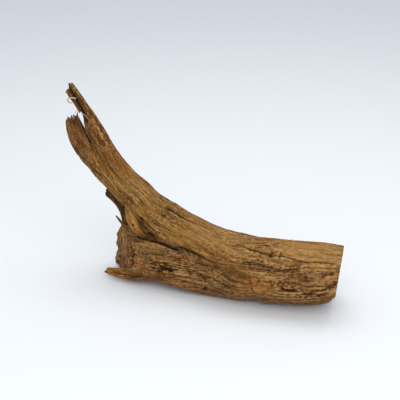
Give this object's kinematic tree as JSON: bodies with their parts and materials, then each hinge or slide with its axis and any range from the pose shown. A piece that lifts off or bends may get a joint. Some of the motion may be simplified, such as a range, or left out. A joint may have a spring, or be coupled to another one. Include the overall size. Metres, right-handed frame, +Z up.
{
  "type": "ebony driftwood",
  "caption": "Branching piece of weathered ebony driftwood: a sawn log that forks into a broken stump and an upswept branch with splintered tips.",
  "frame": {"origin": "bottom centre of the box around the driftwood, on the surface that it lies on", "axes": "+X along the log towards its sawn end, +Y away from the front of the picture, +Z up"},
  "size_m": [0.2722, 0.0656, 0.1878],
  "materials": {
    "weathered_wood": "dry, weathered brown wood with ochre and orange streaks along its grain and dark cracks",
    "shaded_wood": "dry, darker brown wood from the hollow side of a broken root",
    "sawn_wood": "reddish brown sawn end grain with saw marks and drying checks",
    "pale_fibre": "thin, pale, dry root hairs and torn fibres"
  },
  "bodies": {
    "root": {"trunk": "weathered_wood", "upper_branch": "weathered_wood", "broken_stump": "weathered_wood", "long_tip": "weathered_wood", "short_tip": "weathered_wood", "rear_spur": "shaded_wood"}
  },
  "joints": []
}
